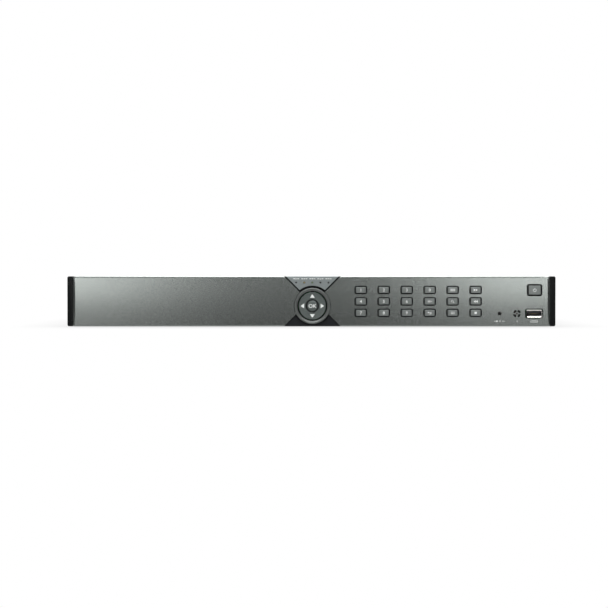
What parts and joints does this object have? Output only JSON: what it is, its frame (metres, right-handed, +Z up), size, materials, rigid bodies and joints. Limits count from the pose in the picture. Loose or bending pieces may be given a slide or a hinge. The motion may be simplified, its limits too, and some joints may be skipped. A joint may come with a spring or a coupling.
{
  "type": "digital video recorder",
  "caption": "Full-width, low video recorder: crowned two-part front panel with a round navigation pad, keypad and front sockets, on a folded steel case with rear connectors.",
  "frame": {"origin": "middle of the bounding box in plan, at the underside of the feet", "axes": "+X to the right seen from the front, +Y from the front panel to the rear connectors, +Z up"},
  "size_m": [0.44, 0.3134, 0.0458],
  "materials": {
    "face_metal": "satin, fine grain, anodised gunmetal",
    "indicator_grey": "satin metallic paint",
    "ring_metal": "satin, turned",
    "pad_grey": "satin metallic paint",
    "key_cap": "satin metallic paint",
    "bezel_black": "gloss moulded",
    "case_steel": "fine textured powder coat",
    "foot_rubber": "matt",
    "plated_shell": "nickel plate",
    "plated_screw": "zinc plate",
    "bare_aluminium": "cast and machined",
    "connector_plastic": "moulded",
    "receiver_lens": "clear dark red",
    "light_pipe": "clear moulded",
    "control_board": "solder mask",
    "main_board": "solder mask",
    "terminal_green": "moulded",
    "ribbon_grey": "soft",
    "cable_red": "soft"
  },
  "bodies": {
    "recorder": {"base_tray": "case_steel", "top_cover": "case_steel", "rear_panel": "case_steel", "front_bezel": "bezel_black", "left_face_plate": "face_metal", "right_face_plate": "face_metal", "indicator_panel": "indicator_grey", "left_end_cap": "bezel_black", "right_end_cap": "bezel_black", "nav_ring": "ring_metal", "status_light_pipe": "light_pipe", "external_receiver_jack": "connector_plastic", "infrared_receiver": "receiver_lens", "front_usb_socket": "plated_shell", "control_board": "control_board", "main_board": "main_board", "processor_heatsink": "bare_aluminium", "hard_drive": "bare_aluminium", "power_supply": "control_board", "mains_inlet": "connector_plastic", "fan_frame": "connector_plastic", "video_input_block": "plated_shell", "audio_jack_block": "plated_shell", "vga_port": "plated_shell", "hdmi_port": "plated_shell", "network_port": "plated_shell", "ribbon_cable": "ribbon_grey", "drive_cable": "cable_red", "cover_screw_1": "plated_screw", "cover_screw_2": "plated_screw", "cover_screw_3": "plated_screw", "foot_front_left": "foot_rubber", "foot_rear_left": "foot_rubber", "foot_front_right": "foot_rubber", "foot_rear_right": "foot_rubber"},
    "key_1": {"key_1": "key_cap"},
    "key_2": {"key_2": "key_cap"},
    "key_3": {"key_3": "key_cap"},
    "key_0": {"key_0": "key_cap"},
    "key_menu": {"key_menu": "key_cap"},
    "key_forward": {"key_forward": "key_cap"},
    "key_4": {"key_4": "key_cap"},
    "key_5": {"key_5": "key_cap"},
    "key_6": {"key_6": "key_cap"},
    "key_camera": {"key_camera": "key_cap"},
    "key_search": {"key_search": "key_cap"},
    "key_rewind": {"key_rewind": "key_cap"},
    "key_7": {"key_7": "key_cap"},
    "key_8": {"key_8": "key_cap"},
    "key_9": {"key_9": "key_cap"},
    "key_escape": {"key_escape": "key_cap"},
    "key_function": {"key_function": "key_cap"},
    "key_stop": {"key_stop": "key_cap"},
    "power_button": {"power_button": "key_cap"},
    "ok_button": {"ok_button": "pad_grey"},
    "pad_gimbal": {"pad_gimbal": "connector_plastic"},
    "direction_pad": {"direction_pad": "pad_grey"},
    "rocker_switch": {"rocker_switch": "bezel_black"},
    "fan_rotor": {"fan_rotor": "connector_plastic"},
    "terminal_plug": {"terminal_plug": "terminal_green"}
  },
  "joints": [
    {"name": "press_key_1", "type": "slide", "parent": "recorder", "child": "key_1", "axis": [0, 1, 0], "range_m": [0, 0.0006], "stiffness_N_per_m": 300},
    {"name": "press_key_2", "type": "slide", "parent": "recorder", "child": "key_2", "axis": [0, 1, 0], "range_m": [0, 0.0006], "stiffness_N_per_m": 300},
    {"name": "press_key_3", "type": "slide", "parent": "recorder", "child": "key_3", "axis": [0, 1, 0], "range_m": [0, 0.0006], "stiffness_N_per_m": 300},
    {"name": "press_key_0", "type": "slide", "parent": "recorder", "child": "key_0", "axis": [0, 1, 0], "range_m": [0, 0.0006], "stiffness_N_per_m": 300},
    {"name": "press_key_menu", "type": "slide", "parent": "recorder", "child": "key_menu", "axis": [0, 1, 0], "range_m": [0, 0.0006], "stiffness_N_per_m": 300},
    {"name": "press_key_forward", "type": "slide", "parent": "recorder", "child": "key_forward", "axis": [0, 1, 0], "range_m": [0, 0.0006], "stiffness_N_per_m": 300},
    {"name": "press_key_4", "type": "slide", "parent": "recorder", "child": "key_4", "axis": [0, 1, 0], "range_m": [0, 0.0006], "stiffness_N_per_m": 300},
    {"name": "press_key_5", "type": "slide", "parent": "recorder", "child": "key_5", "axis": [0, 1, 0], "range_m": [0, 0.0006], "stiffness_N_per_m": 300},
    {"name": "press_key_6", "type": "slide", "parent": "recorder", "child": "key_6", "axis": [0, 1, 0], "range_m": [0, 0.0006], "stiffness_N_per_m": 300},
    {"name": "press_key_camera", "type": "slide", "parent": "recorder", "child": "key_camera", "axis": [0, 1, 0], "range_m": [0, 0.0006], "stiffness_N_per_m": 300},
    {"name": "press_key_search", "type": "slide", "parent": "recorder", "child": "key_search", "axis": [0, 1, 0], "range_m": [0, 0.0006], "stiffness_N_per_m": 300},
    {"name": "press_key_rewind", "type": "slide", "parent": "recorder", "child": "key_rewind", "axis": [0, 1, 0], "range_m": [0, 0.0006], "stiffness_N_per_m": 300},
    {"name": "press_key_7", "type": "slide", "parent": "recorder", "child": "key_7", "axis": [0, 1, 0], "range_m": [0, 0.0006], "stiffness_N_per_m": 300},
    {"name": "press_key_8", "type": "slide", "parent": "recorder", "child": "key_8", "axis": [0, 1, 0], "range_m": [0, 0.0006], "stiffness_N_per_m": 300},
    {"name": "press_key_9", "type": "slide", "parent": "recorder", "child": "key_9", "axis": [0, 1, 0], "range_m": [0, 0.0006], "stiffness_N_per_m": 300},
    {"name": "press_key_escape", "type": "slide", "parent": "recorder", "child": "key_escape", "axis": [0, 1, 0], "range_m": [0, 0.0006], "stiffness_N_per_m": 300},
    {"name": "press_key_function", "type": "slide", "parent": "recorder", "child": "key_function", "axis": [0, 1, 0], "range_m": [0, 0.0006], "stiffness_N_per_m": 300},
    {"name": "press_key_stop", "type": "slide", "parent": "recorder", "child": "key_stop", "axis": [0, 1, 0], "range_m": [0, 0.0006], "stiffness_N_per_m": 300},
    {"name": "press_power_button", "type": "slide", "parent": "recorder", "child": "power_button", "axis": [0, 1, 0], "range_m": [0, 0.0006], "stiffness_N_per_m": 300},
    {"name": "press_ok_button", "type": "slide", "parent": "recorder", "child": "ok_button", "axis": [0, 1, 0], "range_m": [0, 0.0006], "stiffness_N_per_m": 300},
    {"name": "pad_left_right", "type": "hinge", "parent": "recorder", "child": "pad_gimbal", "pos_m": [0.0008, -0.1505, 0.01915], "axis": [0, 0, 1], "range_deg": [-3, 3], "stiffness_Nm_per_rad": 0.05},
    {"name": "pad_up_down", "type": "hinge", "parent": "pad_gimbal", "child": "direction_pad", "pos_m": [0.0008, -0.1505, 0.01915], "axis": [1, 0, 0], "range_deg": [-3, 3], "stiffness_Nm_per_rad": 0.05},
    {"name": "rocker_throw", "type": "hinge", "parent": "recorder", "child": "rocker_switch", "pos_m": [-0.1645, 0.1437, 0.0233], "axis": [1, 0, 0], "range_deg": [-16, 0]},
    {"name": "fan_spin", "type": "hinge", "parent": "recorder", "child": "fan_rotor", "pos_m": [-0.13, 0.1337, 0.0238], "axis": [0, 1, 0], "continuous": true},
    {"name": "terminal_pull", "type": "slide", "parent": "recorder", "child": "terminal_plug", "axis": [0, 1, 0], "range_m": [0, 0.012]}
  ]
}
